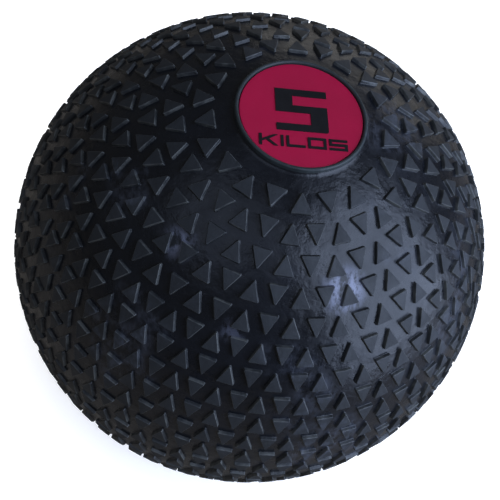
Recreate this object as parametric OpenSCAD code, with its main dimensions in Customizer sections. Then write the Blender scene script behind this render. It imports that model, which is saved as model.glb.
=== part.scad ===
/* [Ball] */
// diameter over the tread blocks
ball_diameter = 230; // [190:5:280]
// rubber between the cavity and the floor of the channels
wall_thickness = 6.5; // [5:0.5:9]

/* [Tread] */
// height of the blocks above the channels
block_height = 1.5; // [1:0.1:2.2]
// share of a row that a block covers from edge to point
block_depth_share = 0.71; // [0.5:0.01:0.78]
// share of a pair of blocks that one block's edge covers
block_edge_share = 0.405; // [0.3:0.005:0.43]
// angle from the badge's axis to the first row, in degrees
first_row_angle = 16.4; // [15.5:0.1:20]
// pairs of blocks in each row, from the badge to the row that stands on the equator
row_pairs = [11, 16, 19, 23, 26, 30, 32, 36, 36, 39, 39, 39, 40];
// turn of each row about the axis, in degrees
row_turn = [6.4, 17, 17.6, 4.7, 5.9, 9.8, 8.2, 4.6, 5.6, 5.8, 6.6, 2.4, 0];

/* [Badge] */
// radius of the crimson disc
label_radius = 24.6; // [20:0.1:26.5]
// thickness of the disc
label_thickness = 1.8; // [1:0.1:2.4]
// width of the raised rim round the disc
rim_width = 1.6; // [1.4:0.1:2.4]
// gap between the disc and the rim
rim_gap = 0.3; // [0.3:0.1:0.8]
// thickness of the printed figures
print_thickness = 0.3; // [0.2:0.05:0.5]
// width of the printed figure
figure_width = 20.6; // [16:0.1:23]
// bare border of the disc at the ends of the unit
print_margin = 1.4; // [0.5:0.1:3]

/* [Filling hole] */
// radius of the hole that the sand goes in by
hole_radius = 8.3; // [6:0.1:10]
// radius of the plug's head
plug_head_radius = 12; // [10.5:0.1:13.5]
// clearance round the plug
plug_clearance = 0.3; // [0.2:0.05:0.5]

/* [Sand] */
// height of the sand's level surface above the centre
sand_level = -6; // [-60:1:40]
// clearance between the sand and the cavity, so that it can turn
sand_clearance = 0.3; // [0.3:0.1:1]

/* [Hidden] */

ball_radius = ball_diameter / 2;
floor_radius = ball_radius - block_height;
cavity_radius = floor_radius - wall_thickness;

rows = len(row_pairs);
row_pitch = (180 - 2 * first_row_angle) / (2 * rows - 1);
block_root = 1;         // how far a block reaches into the wall
block_start = floor_radius - block_root;

seat_radius = label_radius + rim_gap;
rim_radius = seat_radius + rim_width;
crest_radius = rim_width / 2;
// the crest's flanks stand level with the tread where the rim's outer edge is
rim_top = sqrt(ball_radius * ball_radius - rim_radius * rim_radius) + 0.8;
label_top = rim_top - 0.9;
label_floor = label_top - label_thickness;
boss_root = cavity_radius * 0.9;

plug_ring_radius = plug_head_radius + 5;
rest_z = -(sqrt(ball_radius * ball_radius - plug_ring_radius * plug_ring_radius) - 0.2);
head_depth = 2.8;
head_inset = 0.3;
stem_radius = hole_radius - plug_clearance;
stem_inset = 0.4;
lead_in = 0.5;          // bevel on the plug's edges

figure_height = figure_width * 0.964;
figure_bar = figure_height * 0.16;
figure_stem = figure_width * 0.33;
figure_mid = figure_height * 0.165;
figure_rise = figure_height * 0.44;     // from the figure's lower edge to its middle bar
figure_base = -8.4;     // the figure's lower edge, from the disc's centre
figure_corner = 1;      // rounding of its lower right corner
unit_height = 5.1;
unit_stroke = 1.1;
unit_gap = 1.1;         // between letters
unit_base = -16;        // the unit's lower edge, from the disc's centre
// four wide letters, a narrow one and four gaps fill the disc's width at the unit's lower edge
unit_width = 2 * (sqrt(label_radius * label_radius - unit_base * unit_base) - print_margin);
letter_width = (unit_width - unit_stroke - 4 * unit_gap) / 4;

// a triangle of the tread: the point faces the badge when up is true
module block(angle, edge, depth, up) {
  s = up ? 1 : -1;
  rotate([0, angle, 0])
    translate([0, 0, block_start])
      linear_extrude(block_height + block_root)
        polygon([[-s * depth / 2, 0], [s * depth / 2, -s * edge / 2], [s * depth / 2, s * edge / 2]]);
}

// one row of blocks, points up and points down by turns
module tread_row(k, upper) {
  pairs = row_pairs[k];
  step = 360 / pairs;
  angle = first_row_angle + (k + 0.5) * row_pitch;
  edge = ball_radius * sin(angle) * step * PI / 180 * block_edge_share;
  depth = ball_radius * row_pitch * PI / 180 * block_depth_share;
  at = upper ? angle : 180 - angle;
  for (i = [0 : pairs - 1]) {
    rotate([0, 0, row_turn[k] + i * step]) block(at, edge, depth, upper);
    rotate([0, 0, row_turn[k] + (i + 0.5) * step]) block(at, edge, depth, !upper);
  }
}

// the moulding without its tread
module shell_body() {
  difference() {
    union() {
      sphere(r = floor_radius);
      translate([0, 0, boss_root]) cylinder(r = rim_radius, h = rim_top - crest_radius - boss_root);
      translate([0, 0, rim_top - crest_radius])
        rotate_extrude() translate([rim_radius - crest_radius, 0]) circle(r = crest_radius);
      translate([0, 0, rest_z]) cylinder(r = plug_ring_radius, h = -rest_z - boss_root);
    }
    sphere(r = cavity_radius);
    translate([0, 0, label_floor]) cylinder(r = seat_radius, h = label_thickness * 3);
    translate([0, 0, rest_z - 1]) cylinder(r = plug_head_radius + plug_clearance, h = head_depth + head_inset + 1);
    translate([0, 0, rest_z]) cylinder(r = hole_radius, h = -rest_z);
  }
}

module outer_shell() color([0.08, 0.085, 0.1]) {
  union() {
    shell_body();
    for (k = [0 : rows - 1]) tread_row(k, true);
    // the lower half mirrors the rows above the equator
    for (k = [0 : rows - 2]) tread_row(k, false);
  }
}

module label_disc() color([0.55, 0.1, 0.24]) {
  translate([0, 0, label_floor]) cylinder(r = label_radius, h = label_thickness);
}

// the figure's outline starts at its lower left corner
module weight_figure() color([0.06, 0.06, 0.065]) {
  w = figure_width;
  h = figure_height;
  b = figure_bar;
  mid = figure_rise;
  r = figure_corner;
  corner = [for (a = [-90 : 15 : 0]) [w - r + r * cos(a), r + r * sin(a)]];
  translate([-w / 2, figure_base, label_top])
    linear_extrude(print_thickness)
      polygon([[0, 0], each corner, [w, mid + figure_mid], [figure_stem, mid + figure_mid], [figure_stem, h - b],
               [w, h - b], [w, h], [0, h], [0, mid], [w - figure_stem, mid], [w - figure_stem, b], [0, b]]);
}

module unit_mark() color([0.06, 0.06, 0.065]) {
  t = unit_stroke;
  h = unit_height;
  w = letter_width;
  g = unit_gap;
  translate([-unit_width / 2, unit_base, label_top]) linear_extrude(print_thickness) {
    // K
    polygon([[0, 0], [t, 0], [t, h * 0.36], [w * 0.36, h * 0.5], [w - t * 1.4, 0], [w, 0], [w * 0.52, h * 0.58],
             [w, h], [w - t * 1.4, h], [t, h * 0.56], [t, h], [0, h]]);
    // I
    translate([w + g, 0]) square([t, h]);
    // L
    translate([w + t + 2 * g, 0]) polygon([[0, 0], [w, 0], [w, t], [t, t], [t, h], [0, h]]);
    // O
    translate([2 * w + t + 3 * g, 0])
      difference() {
        square([w, h]);
        translate([t, t]) square([w - 2 * t, h - 2 * t]);
      }
    // S
    translate([3 * w + t + 4 * g, 0])
      polygon([[0, 0], [w, 0], [w, (h + t) / 2], [t, (h + t) / 2], [t, h - t], [w, h - t], [w, h], [0, h],
               [0, (h - t) / 2], [w - t, (h - t) / 2], [w - t, t], [0, t]]);
  }
}

// a mushroom plug, let in below the ring that the ball rests on
module filler_plug() color([0.1, 0.1, 0.11]) {
  face = rest_z + head_inset;
  shoulder = face + head_depth;
  translate([0, 0, face]) cylinder(r1 = plug_head_radius - lead_in, r2 = plug_head_radius, h = lead_in);
  translate([0, 0, face + lead_in]) cylinder(r = plug_head_radius, h = head_depth - lead_in);
  translate([0, 0, shoulder]) cylinder(r = stem_radius, h = -cavity_radius - stem_inset - shoulder);
}

// loose sand, level at its top
module sand_fill() color([0.72, 0.62, 0.45]) {
  r = cavity_radius - sand_clearance;
  difference() {
    sphere(r = r);
    translate([-r * 1.5, -r * 1.5, sand_level]) cube([r * 3, r * 3, r * 2]);
  }
}

outer_shell();
label_disc();
weight_figure();
unit_mark();
filler_plug();
sand_fill();
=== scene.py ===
import math

import bpy
import numpy as np
from mathutils import Matrix, Vector


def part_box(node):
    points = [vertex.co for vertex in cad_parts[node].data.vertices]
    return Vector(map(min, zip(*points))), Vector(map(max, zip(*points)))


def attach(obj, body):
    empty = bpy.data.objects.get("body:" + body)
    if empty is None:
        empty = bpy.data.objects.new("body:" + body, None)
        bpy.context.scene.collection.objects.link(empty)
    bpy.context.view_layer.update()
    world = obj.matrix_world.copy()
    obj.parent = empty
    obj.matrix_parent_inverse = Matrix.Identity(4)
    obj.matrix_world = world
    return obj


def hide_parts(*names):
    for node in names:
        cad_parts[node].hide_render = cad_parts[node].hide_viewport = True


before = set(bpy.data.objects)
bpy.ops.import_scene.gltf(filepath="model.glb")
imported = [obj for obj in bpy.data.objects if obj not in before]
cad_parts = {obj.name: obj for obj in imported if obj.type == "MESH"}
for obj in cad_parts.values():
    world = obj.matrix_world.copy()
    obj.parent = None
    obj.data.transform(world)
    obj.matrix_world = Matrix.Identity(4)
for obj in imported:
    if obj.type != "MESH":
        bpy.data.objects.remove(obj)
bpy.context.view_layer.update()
print("frame loaded:", ", ".join(sorted(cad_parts)))

mm = 0.001  # every size below is in millimetres until a mesh is made
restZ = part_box("outer_shell")[0].z / mm
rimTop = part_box("outer_shell")[1].z / mm
scene = bpy.context.scene


def objectFromArrays(name, points, quads, caps=(), normals=None, values=None):
    # points is (count, 3) in millimetres; quads and caps hold rows of point numbers;
    # values holds one array of a number for each point under each attribute's name
    mesh = bpy.data.meshes.new(name)
    mesh.from_pydata((points * mm).tolist(), [], [row for group in (quads, *caps) for row in group.tolist()])
    mesh.polygons.foreach_set("use_smooth", np.ones(len(mesh.polygons), bool))
    for key, numbers in (values or {}).items():
        mesh.attributes.new(key, "FLOAT", "POINT").data.foreach_set("value", numbers.astype(np.float32))
    if normals is not None:
        mesh.normals_split_custom_set_from_vertices(normals.tolist())
    mesh.update()
    made = bpy.data.objects.new(name, mesh)
    scene.collection.objects.link(made)
    return made


def ringQuads(rings, around):
    # quad (i, j) joins points j and j + 1 of ring i to the same points of ring i + 1
    i, j = np.meshgrid(np.arange(rings - 1), np.arange(around), indexing="ij")
    k = (j + 1) % around
    here, below = i * around, (i + 1) * around
    return np.stack([here + j, below + j, below + k, here + k], -1).reshape(-1, 4)


def turnedObject(name, profile, around, values=None, sharpAngle=35, lift=None):
    # a profile of (radius, height) turned about the Z axis: x = r cos a, y = r sin a, z = height;
    # its first and last points lie on the axis and become the two poles
    angles = np.linspace(0, 2 * np.pi, around, endpoint=False)
    r, z = profile[1:-1, 0, None], profile[1:-1, 1, None]
    grid = np.stack([r * np.cos(angles), r * np.sin(angles), z + 0 * angles], -1)
    if lift is not None:
        grid = lift(grid)
    rings = len(profile) - 2
    points = np.concatenate([grid.reshape(-1, 3), [[0, 0, profile[0, 1]], [0, 0, profile[-1, 1]]]])
    j = np.arange(around)
    k = (j + 1) % around
    firstPole, lastPole, lastRing = rings * around, rings * around + 1, (rings - 1) * around
    first = np.stack([np.full(around, firstPole), j, k], -1)
    last = np.stack([np.full(around, lastPole), lastRing + k, lastRing + j], -1)
    spread = {key: np.concatenate([np.repeat(v[1:-1], around), v[[0, -1]]])
              for key, v in (values or {}).items()}
    made = objectFromArrays(name, points, ringQuads(rings, around), (first, last), values=spread)
    made.data.set_sharp_from_angle(angle=math.radians(sharpAngle))
    return made


def arc(centreR, centreZ, radius, start, end, steps):
    # points at centre + radius (sin a, cos a), with a from start to end in degrees from straight up
    a = np.radians(np.linspace(start, end, steps))
    return np.stack([centreR + radius * np.sin(a), centreZ + radius * np.cos(a)], -1)


def softCorner(before, corner, after, trim, steps=5):
    # (1-t)^2 A + 2t(1-t) P + t^2 B, where A and B lie trim away from the corner P on its two sides
    before, corner, after = (np.array(p, float) for p in (before, corner, after))
    a = corner + (before - corner) / np.linalg.norm(before - corner) * trim
    b = corner + (after - corner) / np.linalg.norm(after - corner) * trim
    t = np.linspace(0, 1, steps)[:, None]
    return (1 - t) ** 2 * a + 2 * t * (1 - t) * corner + t ** 2 * b


def shaderGroup(name, inputs, outputs):
    group = bpy.data.node_groups.new(name, "ShaderNodeTree")
    for label, kind, value in inputs:
        made = group.interface.new_socket(name=label, in_out="INPUT", socket_type=kind)
        if value is not None:
            made.default_value = value
    for label, kind in outputs:
        group.interface.new_socket(name=label, in_out="OUTPUT", socket_type=kind)
    return group, group.nodes.new("NodeGroupInput"), group.nodes.new("NodeGroupOutput")


def addNode(tree, kind, settings=None, **inputs):
    # inputs whose value is a socket are linked, and the others are set; _0 is the input numbered 0,
    # and an underscore inside a name stands for a space
    made = tree.nodes.new(kind)
    for key, value in (settings or {}).items():
        setattr(made, key, value)
    for key, value in inputs.items():
        place = made.inputs[int(key[1:])] if key[0] == "_" else made.inputs[key.replace("_", " ")]
        if isinstance(value, bpy.types.NodeSocket):
            tree.links.new(value, place)
        else:
            place.default_value = value
    return made


def scaled(tree, vector, factor):
    # each part of the vector times the same part of the factor
    return addNode(tree, "ShaderNodeVectorMath", {"operation": "MULTIPLY"}, _0=vector, _1=factor).outputs[0]


def calc(tree, operation, *values, clamp=False):
    return addNode(tree, "ShaderNodeMath", {"operation": operation, "use_clamp": clamp},
                   **{f"_{i}": v for i, v in enumerate(values)}).outputs[0]


def remap(tree, value, low, high, newLow=0.0, newHigh=1.0):
    # a smooth step from newLow at low to newHigh at high
    return addNode(tree, "ShaderNodeMapRange", {"interpolation_type": "SMOOTHSTEP"}, Value=value, From_Min=low,
                   From_Max=high, To_Min=newLow, To_Max=newHigh).outputs[0]


def noise(tree, vector, scale, detail=3.0, roughness=0.55):
    return addNode(tree, "ShaderNodeTexNoise", Vector=vector, Scale=scale, Detail=detail,
                   Roughness=roughness).outputs[0]


def shaded(tree, colour, factor):
    # all parts of the colour times one number
    return addNode(tree, "ShaderNodeVectorMath", {"operation": "SCALE"}, _0=colour, Scale=factor).outputs[0]


def uneven(tree, place, size, low, high, detail=3.0):
    # a value that wanders between low and high over the surface
    return remap(tree, noise(tree, place, size, detail), 0.3, 0.7, low, high)


def blotched(tree, colour, grain, low, high):
    # the colour times a shade that wanders between low and high in large soft patches
    return shaded(tree, colour, remap(tree, grain["Blotch"], 0.3, 0.7, low, high))


def makeGrain():
    # moulded skin: slow waves of a few millimetres with a fine pebble over them, as a bump
    group, given, result = shaderGroup("mouldGrain", [("Position", "NodeSocketVector", None),
        ("Wave Size", "NodeSocketFloat", 260.0), ("Pebble Size", "NodeSocketFloat", 1500.0),
        ("Wave Depth", "NodeSocketFloat", 0.4), ("Pebble Depth", "NodeSocketFloat", 0.15)],
        [("Normal", "NodeSocketVector"), ("Blotch", "NodeSocketFloat")])
    place = given.outputs["Position"]
    wave = noise(group, place, given.outputs["Wave Size"], 3.0)
    pebble = noise(group, place, given.outputs["Pebble Size"], 2.0)
    slow = addNode(group, "ShaderNodeBump", Strength=given.outputs["Wave Depth"], Distance=0.0006, Height=wave)
    fine = addNode(group, "ShaderNodeBump", Strength=given.outputs["Pebble Depth"], Distance=0.00012,
                   Height=pebble, Normal=slow.outputs[0])
    group.links.new(fine.outputs[0], result.inputs["Normal"])
    group.links.new(noise(group, place, 45.0, 4.0), result.inputs["Blotch"])
    return group


def makeScuff():
    # handling marks: patches where long thin smears show
    group, given, result = shaderGroup("handlingScuff", [("Position", "NodeSocketVector", None),
        ("Amount", "NodeSocketFloat", 0.5), ("Spread", "NodeSocketFloat", 24.0)], [("Mask", "NodeSocketFloat")])
    place = given.outputs["Position"]
    patch = remap(group, noise(group, place, given.outputs["Spread"], 2.0), 0.54, 0.68)
    smear = remap(group, noise(group, scaled(group, place, (1.0, 0.25, 0.5)), 420.0, 5.0, 0.7), 0.48, 0.72)
    mottle = remap(group, noise(group, place, 190.0, 4.0, 0.65), 0.42, 0.66)
    both = calc(group, "MULTIPLY", patch, calc(group, "ADD", calc(group, "MULTIPLY", smear, 0.7),
                                               calc(group, "MULTIPLY", mottle, 0.5)))
    group.links.new(calc(group, "MULTIPLY", both, given.outputs["Amount"], clamp=True), result.inputs["Mask"])
    return group


def makeDust():
    # pale dust that lies on faces that look up, in loose specks
    group, given, result = shaderGroup("settledDust", [("Position", "NodeSocketVector", None),
        ("Amount", "NodeSocketFloat", 0.2)], [("Mask", "NodeSocketFloat")])
    up = addNode(group, "ShaderNodeSeparateXYZ", _0=addNode(group, "ShaderNodeNewGeometry").outputs["Normal"])
    lying = remap(group, up.outputs["Z"], 0.1, 0.95)
    speck = remap(group, noise(group, given.outputs["Position"], 900.0, 4.0, 0.7), 0.56, 0.74)
    group.links.new(calc(group, "MULTIPLY", calc(group, "MULTIPLY", lying, speck), given.outputs["Amount"]),
                    result.inputs["Mask"])
    return group


mouldGrain, handlingScuff, settledDust = makeGrain(), makeScuff(), makeDust()


def useGroup(tree, group, **inputs):
    return addNode(tree, "ShaderNodeGroup", {"node_tree": group}, **inputs).outputs


def mixColour(tree, share, first, second):
    return addNode(tree, "ShaderNodeMix", {"data_type": "RGBA"}, _0=share, _6=first, _7=second).outputs[2]


def mixNumber(tree, share, first, second):
    return addNode(tree, "ShaderNodeMix", _0=share, _2=first, _3=second).outputs[0]


def newMaterial(name, ior=1.5, specular=0.5):
    made = bpy.data.materials.new(name)
    made.use_nodes = True
    shader = made.node_tree.nodes["Principled BSDF"]
    shader.inputs["IOR"].default_value = ior
    shader.inputs["Specular IOR Level"].default_value = specular
    place = made.node_tree.nodes.new("ShaderNodeTexCoord").outputs["Object"]
    return made, made.node_tree, shader, place


def attributeValue(tree, name):
    return addNode(tree, "ShaderNodeAttribute", {"attribute_name": name}).outputs["Fac"]


def connect(tree, shader, **inputs):
    for key, value in inputs.items():
        tree.links.new(value, shader.inputs[key.replace("_", " ")])


# the painted highlights sit about places, each a centre and a reach in metres and a strength; a range is a pair
# of limits
treadRubber = {
    "channelColour": (0.0075, 0.009, 0.013, 1), "channelRoughness": 0.28,
    "blockColour": (0.026, 0.0295, 0.0335, 1), "blockRoughness": 0.6,
    "rimColour": (0.034, 0.043, 0.045, 1), "rimRoughness": 0.5,
    "scuffColour": (0.15, 0.165, 0.21, 1), "scuffAmount": 0.5, "dustColour": (0.2, 0.2, 0.19, 1),
    "dustAmount": 0.08, "wearColour": (0.19, 0.195, 0.18, 1), "wearAmount": 0.72,
    # painted highlight: the places and the pale bluish colour of glare patches laid into the channels
    "paintedGlarePlaces": [(0.018, -0.065, 0.092, 0.012, 1.0), (-0.045, -0.049, 0.092, 0.009, 0.5),
                     (-0.023, -0.078, 0.079, 0.007, 0.25)],
    "paintedGlareColour": (0.3, 0.32, 0.43, 1), "paintedGlareCore": 0.2, "streakSize": 260.0, "wearSize": 160.0,
    "shadeRange": (0.8, 1.2), "roughSize": 120.0, "roughRange": (-0.06, 0.08), "edgeGloss": 0.16,
    "scuffRoughness": 0.25, "waveDepth": 0.5, "pebbleDepth": 0.2,
}


def makeTreadRubber(look):
    # the point attributes say where on the moulding it is: finish 0 in a channel and 1 on a block's top,
    # edge 1 on a block's bevel, rim 1 on the bead round the badge
    made, tree, shader, place = newMaterial("treadRubber")
    finish, edge, rim = (attributeValue(tree, key) for key in ("finish", "edge", "rim"))
    grain = useGroup(tree, mouldGrain, Position=place, Wave_Depth=look["waveDepth"],
                     Pebble_Depth=look["pebbleDepth"])
    colour = mixColour(tree, finish, look["channelColour"], look["blockColour"])
    colour = mixColour(tree, rim, colour, look["rimColour"])
    colour = blotched(tree, colour, grain, *look["shadeRange"])
    worn = remap(tree, noise(tree, place, look["wearSize"]), 0.4, 0.65, 0.15, look["wearAmount"])
    wear = calc(tree, "MULTIPLY", edge, worn)
    colour = mixColour(tree, wear, colour, look["wearColour"])
    scuff = useGroup(tree, handlingScuff, Position=place, Amount=look["scuffAmount"])["Mask"]
    colour = mixColour(tree, scuff, colour, look["scuffColour"])
    # painted highlights: bright bluish glare patches about a few fixed centres, broken into streaks by noise,
    # in the channels only
    glare = 0.0
    for x, y, z, reach, strength in look["paintedGlarePlaces"]:
        gap = addNode(tree, "ShaderNodeVectorMath", {"operation": "DISTANCE"}, _0=place, _1=(x, y, z))
        patch = remap(tree, gap.outputs["Value"], reach, reach * look["paintedGlareCore"], 0.0, strength)
        glare = calc(tree, "MAXIMUM", glare, patch)
    drawn = scaled(tree, place, (1.0, 0.5, 0.7))
    streak = remap(tree, noise(tree, drawn, look["streakSize"], 5.0, 0.7), 0.42, 0.6)
    glare = calc(tree, "MULTIPLY", calc(tree, "MULTIPLY", glare, streak), calc(tree, "SUBTRACT", 1.0, finish))
    # the channels take the painted highlight colour inside the glare patches
    colour = mixColour(tree, glare, colour, look["paintedGlareColour"])
    dust = useGroup(tree, settledDust, Position=place, Amount=look["dustAmount"])["Mask"]
    colour = mixColour(tree, dust, colour, look["dustColour"])
    rough = mixNumber(tree, finish, look["channelRoughness"], look["blockRoughness"])
    rough = mixNumber(tree, rim, rough, look["rimRoughness"])
    rough = calc(tree, "ADD", rough, uneven(tree, place, look["roughSize"], *look["roughRange"], detail=4.0))
    rough = calc(tree, "SUBTRACT", rough, calc(tree, "MULTIPLY", edge, look["edgeGloss"]))
    rough = calc(tree, "ADD", rough, calc(tree, "MULTIPLY", scuff, look["scuffRoughness"]), clamp=True)
    connect(tree, shader, Base_Color=colour, Roughness=rough, Normal=grain["Normal"])
    return made


# the moulded shell: its smooth web; the edge of the hole inside turns towards the cavity's wall at mouthAim
shellWeb = {
    "floorRadius": 113.5, "cavityRadius": 107.0, "seatRadius": 24.9, "seatMiddle": 12.0, "rimRadius": 26.5,
    "crestRadius": 0.8, "rimFillet": 1.8, "footShare": 0.8, "ringRadius": 17.0, "ringMargin": 0.8,
    "counterbore": 12.3, "boreDepth": 3.1, "holeRadius": 8.3, "mouthAim": 20.0,
    "seatSoftening": 0.25, "ringFoot": 0.7, "ringEdge": 0.35, "boreSoftening": 0.2, "mouthSoftening": 0.3,
    "crestSteps": 13, "footSteps": 6, "sphereSteps": 120, "cavitySteps": 60, "cavityStart": 175, "around": 256,
}


def makeShellWeb(p):
    # one closed profile turned about Z: the badge's seat, the bead as half a circle, the sphere of the
    # channel floors, the resting ring, the filling hole and the cavity's sphere, with soft corners
    floorR, cavityR, crest, ringR = p["floorRadius"], p["cavityRadius"], p["crestRadius"], p["ringRadius"]
    bore, hole, seatR = p["counterbore"], p["holeRadius"], p["seatRadius"]
    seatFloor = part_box("label_disc")[0].z / mm
    shelf = restZ + p["boreDepth"]
    rimMid, rimZ = p["rimRadius"] - crest, rimTop - crest
    rimFoot = (p["rimRadius"], math.sqrt(floorR ** 2 - p["rimRadius"] ** 2))
    ringFoot = (ringR, -math.sqrt(floorR ** 2 - ringR ** 2))
    holeTop = (hole, -math.sqrt(cavityR ** 2 - hole ** 2))
    beyondHole = (p["mouthAim"], -math.sqrt(cavityR ** 2 - p["mouthAim"] ** 2))
    startAngle = math.degrees(math.asin((p["rimRadius"] + p["rimFillet"]) / floorR))
    endAngle = 180 - math.degrees(math.asin((ringR + p["ringMargin"]) / floorR))
    sphere = arc(0, 0, floorR, startAngle, endAngle, p["sphereSteps"])
    foot = p["rimFillet"] * p["footShare"]
    parts = [
        [[0, seatFloor], [p["seatMiddle"], seatFloor]],
        softCorner((p["seatMiddle"], seatFloor), (seatR, seatFloor), (seatR, rimZ), p["seatSoftening"]),
        arc(rimMid, rimZ, crest, -90, 90, p["crestSteps"]),
        softCorner((p["rimRadius"], rimZ), rimFoot, sphere[0], foot, p["footSteps"])[:-1],
        sphere,
        softCorner(sphere[-1], ringFoot, (ringR, restZ), p["ringFoot"]),
        softCorner(ringFoot, (ringR, restZ), (bore, restZ), p["ringEdge"]),
        softCorner((ringR, restZ), (bore, restZ), (bore, shelf), p["boreSoftening"]),
        softCorner((bore, restZ), (bore, shelf), (hole, shelf), p["boreSoftening"]),
        softCorner((bore, shelf), (hole, shelf), holeTop, p["boreSoftening"]),
        softCorner((hole, shelf), holeTop, beyondHole, p["mouthSoftening"]),
        arc(0, 0, cavityR, p["cavityStart"], 0, p["cavitySteps"]),
    ]
    profile = np.concatenate(parts)
    profile[-1, 0] = 0  # exactly on the axis
    rim = np.zeros(len(profile))
    bead = len(parts[0]) + len(parts[1])
    rim[bead - 1:bead + len(parts[2]) + 2] = 1  # the bead and the start of its fillet
    made = turnedObject("shell_web", profile, p["around"], {"rim": rim})
    made.data.materials.append(treadRubberMaterial)
    return made


treadRubberMaterial = makeTreadRubber(treadRubber)
webObject = makeShellWeb(shellWeb)
print("shell web:", len(webObject.data.polygons), "faces")


# the moulded shell: its triangular blocks, in rows about the badge's axis
tread = {
    "floorRadius": 113.5, "topRadius": 115.0, "firstRowAngle": 16.4,
    "pairs": [11, 16, 19, 23, 26, 30, 32, 36, 36, 39, 39, 39, 40],
    "turns": [6.4, 17, 17.6, 4.7, 5.9, 9.8, 8.2, 4.6, 5.6, 5.8, 6.6, 2.4, 0],
    "depthShare": 0.71, "edgeShare": 0.405, "cornerRadius": 0.4, "cornerSteps": 3,
}
# each ring of a block, from its foot to its top: how far outside the outline it lies, its height,
# whether that is from the channel's floor (0) or the block's top (1), its normal's outward and upward
# parts, its finish and its edge wear
blockRings = np.array([
    [0.46, -0.05, 0, 0.00, 1.00, 0.0, 0.0],
    [0.20, 0.07, 0, 0.66, 0.75, 0.1, 0.1],
    [0.10, 0.28, 0, 0.97, 0.24, 0.4, 0.6],
    [-0.04, -0.34, 1, 0.97, 0.24, 0.6, 0.8],
    [-0.12, -0.09, 1, 0.74, 0.67, 0.7, 1.0],
    [-0.30, 0.00, 1, 0.00, 1.00, 1.0, 0.0],
])


def unit(v):
    return v / np.linalg.norm(v, axis=-1, keepdims=True)


def blockCentres(p, upper):
    # row k lies at first + (k + 1/2) pitch from the axis; its blocks stand at turn + i half steps,
    # and point towards the badge and away from it by turns; the last row stands on the equator,
    # and the lower half mirrors the rows above it
    pairs, turns = np.array(p["pairs"]), np.array(p["turns"], float)
    pitch = (180 - 2 * p["firstRowAngle"]) / (2 * len(pairs) - 1)
    if not upper:
        pairs = pairs[:-1]
    row = np.repeat(np.arange(len(pairs)), 2 * pairs)
    index = np.arange(len(row)) - np.repeat(np.cumsum(2 * pairs) - 2 * pairs, 2 * pairs)
    theta = np.radians(p["firstRowAngle"] + (row + 0.5) * pitch)
    phi = np.radians(turns[row] + index * 180 / pairs[row])
    towards = np.where(index % 2 == 0, 1.0, -1.0)
    edge = p["topRadius"] * np.sin(theta) * np.radians(360 / pairs[row]) * p["edgeShare"]
    depth = np.full(len(row), p["topRadius"] * math.radians(pitch) * p["depthShare"])
    if upper:
        return theta, phi, towards, edge, depth
    return np.pi - theta, phi, -towards, edge, depth


def makeBlocks(name, p, upper):
    # point = radius * unit(R er + x et + y ep): the outline (x, y) is laid on the sphere about the block's
    # centre, each corner an arc of cornerRadius, each ring the same arcs with a larger or smaller radius
    theta, phi, towards, edge, depth = blockCentres(p, upper)
    er = np.stack([np.sin(theta) * np.cos(phi), np.sin(theta) * np.sin(phi), np.cos(theta)], -1)
    et = np.stack([np.cos(theta) * np.cos(phi), np.cos(theta) * np.sin(phi), -np.sin(theta)], -1)
    ep = np.stack([-np.sin(phi), np.cos(phi), 0 * phi], -1)
    zero = 0 * edge
    corners = np.stack([np.stack([-depth / 2, zero], -1), np.stack([depth / 2, -edge / 2], -1),
                        np.stack([depth / 2, edge / 2], -1)], 1) * towards[:, None, None]
    after = unit(np.roll(corners, -1, 1) - corners)
    before = unit(np.roll(corners, 1, 1) - corners)
    half = np.arccos(np.clip((after * before).sum(-1), -1, 1)) / 2
    inset = corners + unit(after + before) * (p["cornerRadius"] / np.sin(half))[..., None]
    outAfter = np.stack([after[..., 1], -after[..., 0]], -1)
    outBefore = np.stack([-before[..., 1], before[..., 0]], -1)
    t = np.linspace(0, 1, p["cornerSteps"])[:, None]
    facing = unit(outBefore[:, :, None] * (1 - t) + outAfter[:, :, None] * t).reshape(len(edge), -1, 2)
    centre = np.repeat(inset, p["cornerSteps"], 1)
    offset, height, fromTop, outPart, upPart, finish, wear = blockRings.T
    radius = np.where(fromTop > 0, p["topRadius"] + height, p["floorRadius"] + height)
    flat = centre[:, None] + facing[:, None] * (p["cornerRadius"] + offset[:, None, None])
    er, et, ep = (axis[:, None, None] for axis in (er, et, ep))
    ray = unit(p["topRadius"] * er + flat[..., :1] * et + flat[..., 1:] * ep)
    points = ray * radius[:, None, None]
    side = facing[:, None, :, :1] * et + facing[:, None, :, 1:] * ep
    normals = unit(side * outPart[:, None, None] + ray * upPart[:, None, None])
    blocks, rings, around = points.shape[:3]
    first = np.arange(blocks)[:, None, None] * rings * around
    quads = (first + ringQuads(rings, around)[None][..., ::-1]).reshape(-1, 4)
    caps = (first[..., 0] + (rings - 1) * around + np.arange(around)[None]).reshape(-1, around)
    each = np.tile(np.repeat(np.stack([finish, wear]), around, 1), blocks)
    made = objectFromArrays(name, points.reshape(-1, 3), quads, (caps,), normals.reshape(-1, 3),
                            {"finish": each[0], "edge": each[1]})
    made.data.materials.append(treadRubberMaterial)
    return made


upperTread = makeBlocks("tread_upper", tread, True)
lowerTread = makeBlocks("tread_lower", tread, False)
for piece in (webObject, upperTread, lowerTread):
    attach(piece, "shell")
    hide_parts("outer_shell")
blockCount = 4 * sum(tread["pairs"]) - 2 * tread["pairs"][-1]
print("tread:", blockCount, "blocks,", len(upperTread.data.polygons) + len(lowerTread.data.polygons), "faces")


# the badge: disc, figure and unit
badge = {
    "radius": 24.6, "faceRings": (0.0, 8.0, 16.0, 23.6), "edgeSoftening": 0.3, "around": 192,
    "colour": (0.61, 0.006, 0.061, 1), "roughness": 0.6, "dustColour": (0.5, 0.4, 0.4, 1), "dustAmount": 0.03,
    "shadeRange": (0.96, 1.04), "roughSize": 150.0, "roughRange": (-0.05, 0.05),
    "printColour": (0.012, 0.0115, 0.013, 1), "printRoughness": 0.5,
    "printShadeRange": (0.88, 1.12), "printRoughSize": 300.0, "printRoughRange": (-0.06, 0.06),
}


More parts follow.
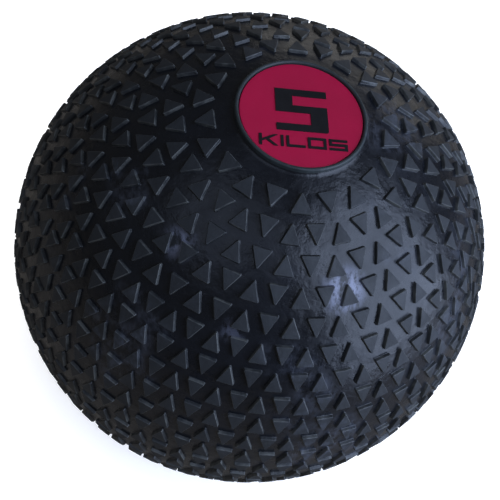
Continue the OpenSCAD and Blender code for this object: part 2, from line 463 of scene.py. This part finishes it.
def makeBadge(p):
    # a flat disc with softened edges: a profile of its upper face, two soft corners and its lower face
    low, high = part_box("label_disc")
    low, high, r, inner = low.z / mm, high.z / mm, p["radius"], p["faceRings"][-1]
    profile = np.concatenate([[[ring, high] for ring in p["faceRings"]],
        softCorner((inner, high), (r, high), (r, low), p["edgeSoftening"]),
        softCorner((r, high), (r, low), (0, low), p["edgeSoftening"]), [[0, low]]])
    made = turnedObject("badge_disc", profile, p["around"])
    finish, tree, shader, place = newMaterial("badgeCrimson", specular=0.35)
    grain = useGroup(tree, mouldGrain, Position=place, Wave_Size=90.0, Pebble_Size=1800.0, Wave_Depth=0.05,
                     Pebble_Depth=0.12)
    colour = blotched(tree, p["colour"][:3], grain, *p["shadeRange"])
    dust = useGroup(tree, settledDust, Position=place, Amount=p["dustAmount"])["Mask"]
    colour = mixColour(tree, dust, colour, p["dustColour"])
    rough = calc(tree, "ADD", uneven(tree, place, p["roughSize"], *p["roughRange"]), p["roughness"])
    connect(tree, shader, Base_Color=colour, Roughness=rough, Normal=grain["Normal"])
    made.data.materials.append(finish)
    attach(made, "shell")
    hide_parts("label_disc")


def makePrintInk(p):
    made, tree, shader, place = newMaterial("printInk", specular=0.35)
    grain = useGroup(tree, mouldGrain, Position=place, Wave_Size=200.0, Pebble_Size=2200.0, Wave_Depth=0.05,
                     Pebble_Depth=0.18)
    colour = blotched(tree, p["printColour"][:3], grain, *p["printShadeRange"])
    rough = uneven(tree, place, p["printRoughSize"], *p["printRoughRange"])
    rough = calc(tree, "ADD", rough, p["printRoughness"])
    connect(tree, shader, Base_Color=colour, Roughness=rough, Normal=grain["Normal"])
    return made


def paintNode(node, finish):
    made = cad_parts[node]
    made.data.materials.clear()
    made.data.materials.append(finish)


makeBadge(badge)
printInk = makePrintInk(badge)
paintNode("weight_figure", printInk)
paintNode("unit_mark", printInk)
print("badge: disc, figure and unit")


# the plug of the filling hole
plug = {
    "headRadius": 12.0, "stemRadius": 8.0, "headDepth": 2.8, "stemSoftening": 0.6, "shoulderSoftening": 0.3,
    "faceSoftening": 0.7, "neck": 0.3, "around": 96, "colour": (0.02, 0.021, 0.024, 1), "roughness": 0.55,
    "shadeRange": (0.8, 1.2), "scuffColour": (0.12, 0.12, 0.12, 1), "scuffAmount": 0.35, "scuffSpread": 60.0,
    "scuffRoughness": 0.3,
}


def makePlug(p):
    # a mushroom: a shallow head with softened edges on a plain stem, as one profile from the stem's end
    # to the middle of the head's face
    low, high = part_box("filler_plug")
    low, high, head, stem = low.z / mm, high.z / mm, p["headRadius"], p["stemRadius"]
    shoulder = low + p["headDepth"]
    profile = np.concatenate([[[0, high], [stem * 0.6, high]],
        softCorner((0, high), (stem, high), (stem, shoulder), p["stemSoftening"]),
        [[stem, shoulder + p["neck"]]],
        softCorner((stem, shoulder), (head, shoulder), (head, low), p["shoulderSoftening"]),
        softCorner((head, shoulder), (head, low), (0, low), p["faceSoftening"]),
        [[head * 0.5, low], [0, low]]])
    made = turnedObject("plug_body", profile, p["around"])
    finish, tree, shader, place = newMaterial("plugRubber")
    grain = useGroup(tree, mouldGrain, Position=place, Wave_Depth=0.3, Pebble_Depth=0.3)
    colour = blotched(tree, p["colour"][:3], grain, *p["shadeRange"])
    scuff = useGroup(tree, handlingScuff, Position=place, Amount=p["scuffAmount"],
                     Spread=p["scuffSpread"])["Mask"]
    colour = mixColour(tree, scuff, colour, p["scuffColour"])
    rough = calc(tree, "ADD", calc(tree, "MULTIPLY", scuff, p["scuffRoughness"]), p["roughness"])
    connect(tree, shader, Base_Color=colour, Roughness=rough, Normal=grain["Normal"])
    made.data.materials.append(finish)
    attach(made, "shell")
    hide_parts("filler_plug")


makePlug(plug)
print("plug")


# the loose sand inside
sand = {
    "radius": 106.7, "ripple": 0.5, "heapWaves": (0.21, 0.13, 0.17, 0.11), "heapBend": 0.8, "fadeWidth": 10.0,
    "grainSize": 1600.0, "grainDepth": 0.0004, "levelSteps": 40, "wallSteps": 60, "around": 160,
    "colour": (0.42, 0.33, 0.2, 1), "dark": (0.16, 0.11, 0.07, 1), "pale": (0.62, 0.56, 0.46, 1),
}


def makeSand(p):
    # the part of a sphere below a level, with low heaps on its surface: height = level - ripple (1 + f) / 2,
    # where f is a product of sines of x and y; the heaps fade out at the wall
    high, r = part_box("sand_fill")[1].z / mm, p["radius"]
    edge, steps = math.degrees(math.acos(high / r)), p["levelSteps"]
    top = np.stack([np.linspace(0, math.sqrt(r * r - high * high), steps), np.full(steps, high)], -1)
    profile = np.concatenate([top, arc(0, 0, r, edge, 180, p["wallSteps"])[1:]])
    profile[-1, 0] = 0  # exactly on the axis

    def heaps(grid):
        x, y, z = grid[..., 0], grid[..., 1], grid[..., 2]
        first, second, third, fourth = p["heapWaves"]
        f = np.sin(x * first + p["heapBend"] * np.sin(y * second)) * np.sin(y * third + np.sin(x * fourth))
        fade = np.clip((r * 0.99 - np.hypot(x, y)) / p["fadeWidth"], 0, 1)
        level = z > high - 0.001
        return np.stack([x, y, z - np.where(level, p["ripple"] * fade * (1 + f) / 2, 0)], -1)

    made = turnedObject("sand_body", profile, p["around"], lift=heaps)
    finish, tree, shader, place = newMaterial("looseSand", specular=0.3)
    cells = addNode(tree, "ShaderNodeTexVoronoi", Vector=place, Scale=p["grainSize"])
    tone = remap(tree, noise(tree, place, 1400.0, 2.0), 0.35, 0.65)
    colour = mixColour(tree, tone, p["colour"], p["dark"])
    colour = mixColour(tree, remap(tree, noise(tree, place, 2600.0, 1.0), 0.6, 0.7), colour, p["pale"])
    bump = addNode(tree, "ShaderNodeBump", Strength=0.8, Distance=p["grainDepth"],
                   Height=cells.outputs["Distance"])
    rough = uneven(tree, place, 700.0, 0.75, 0.95)
    connect(tree, shader, Base_Color=colour, Roughness=rough, Normal=bump.outputs[0])
    made.data.materials.append(finish)
    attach(made, "fill")
    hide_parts("sand_fill")


makeSand(sand)
print("sand")


# floor, lights and camera
studio = {
    "distance": 0.4025, "fieldOfView": 35.14, "shift": (0.0013, -0.0055), "sensorWidth": 36, "clipStart": 0.01,
    "towards": (-0.1724, -0.4647, 0.8685), "right": (0.9831, -0.0254, 0.1816),
    "up": (-0.0623, 0.8852, 0.4613),
    "keyDirection": (0.87, -0.28, 0.40), "keyDistance": 1.0, "keySize": (1.0, 1.9), "keyPower": 21.0,
    "frontDirection": (-0.2, 0.18, 0.96), "frontDistance": 1.2, "frontSize": (0.9, 0.7), "frontPower": 1.1,
    "backPlace": (0.6, 1.1, 0.05), "backSize": (1.2, 0.8), "backPower": 1.6,
    "keyColour": (0.58, 0.71, 1.0), "backColour": (1.0, 0.98, 0.95),
    "overheadHeight": 2.2, "overheadSize": (3.2, 3.2), "overheadColour": (1, 1, 1), "overheadPower": 110.0,
    "floorSide": 40.0, "floorColour": (0.86, 0.86, 0.86, 1), "floorGlow": (0.25, 0.25, 0.25, 1),
    "floorBounce": (0.095, 0.088, 0.08, 1), "floorSpecular": 0.1, "floorRoughness": 0.9,
    "airColour": (0.95, 0.97, 1.0, 1), "ambient": 0.085, "backdrop": 0.85,
}


def makeLamp(name, place, size, power, colour):
    # a rectangle of light that faces the centre of the ball and is not seen itself
    lamp = bpy.data.lights.new(name, "AREA")
    lamp.shape, lamp.size, lamp.size_y = "RECTANGLE", size[0], size[1]
    lamp.energy, lamp.color = power, colour
    made = bpy.data.objects.new(name, lamp)
    made.location = place
    made.visible_camera = False
    made.rotation_euler = (Vector() - Vector(place)).to_track_quat("-Z", "Y").to_euler()
    scene.collection.objects.link(made)
    return made


def makeStudio(p):
    # a lamp's place is its direction, in the camera's right, up and towards axes, times its distance
    basis = [Vector(p[key]).normalized() for key in ("right", "up", "towards")]
    camera = bpy.data.objects.new("view", bpy.data.cameras.new("view"))
    camera.data.sensor_width = p["sensorWidth"]
    camera.data.lens = p["sensorWidth"] / 2 / math.tan(math.radians(p["fieldOfView"] / 2))
    camera.data.shift_x, camera.data.shift_y = p["shift"]
    camera.data.clip_start = p["clipStart"]
    camera.matrix_world = Matrix.Translation(basis[2] * p["distance"]) @ Matrix(basis).transposed().to_4x4()
    scene.collection.objects.link(camera)
    scene.camera = camera

    corners = np.array([[-1, -1, 0], [1, -1, 0], [1, 1, 0], [-1, 1, 0]], float) * p["floorSide"] / 2
    corners[:, 2] = restZ * mm
    floorMesh = bpy.data.meshes.new("floor")
    floorMesh.from_pydata(corners.tolist(), [], [[0, 1, 2, 3]])
    floor = bpy.data.objects.new("floor", floorMesh)
    scene.collection.objects.link(floor)
    paint, tree, shader, _ = newMaterial("floorPaint", specular=p["floorSpecular"])
    seen = tree.nodes.new("ShaderNodeLightPath").outputs["Is Camera Ray"]
    # pale where it is seen, and dark to the ball, so that little light goes back up
    connect(tree, shader, Base_Color=mixColour(tree, seen, p["floorBounce"], p["floorColour"]),
            Emission_Color=mixColour(tree, seen, (0, 0, 0, 1), p["floorGlow"]))
    shader.inputs["Emission Strength"].default_value = 1.0
    shader.inputs["Roughness"].default_value = p["floorRoughness"]
    floorMesh.materials.append(paint)

    for name in ("key", "front"):
        place = sum((axis * part for axis, part in zip(basis, p[name + "Direction"])), Vector())
        makeLamp(name + "Lamp", place * p[name + "Distance"], p[name + "Size"], p[name + "Power"],
                 p["keyColour"])
    overhead = makeLamp("floorLamp", (0, 0, p["overheadHeight"]), p["overheadSize"], p["overheadPower"],
                        p["overheadColour"])
    makeLamp("backLamp", p["backPlace"], p["backSize"], p["backPower"], p["backColour"])
    onlyFloor = bpy.data.collections.new("onlyFloor")  # the overhead lamp lights the floor and not the ball
    onlyFloor.objects.link(floor)
    overhead.light_linking.receiver_collection = onlyFloor
    world = bpy.data.worlds.new("studio")
    world.use_nodes = True
    tree = world.node_tree
    background = tree.nodes["Background"]
    background.inputs["Color"].default_value = p["airColour"]
    seen = tree.nodes.new("ShaderNodeLightPath").outputs["Is Camera Ray"]  # a pale backdrop above the floor
    tree.links.new(remap(tree, seen, 0.0, 1.0, p["ambient"], p["backdrop"]), background.inputs["Strength"])
    scene.world = world
    scene.view_settings.view_transform = "Standard"


makeStudio(studio)
print("studio")
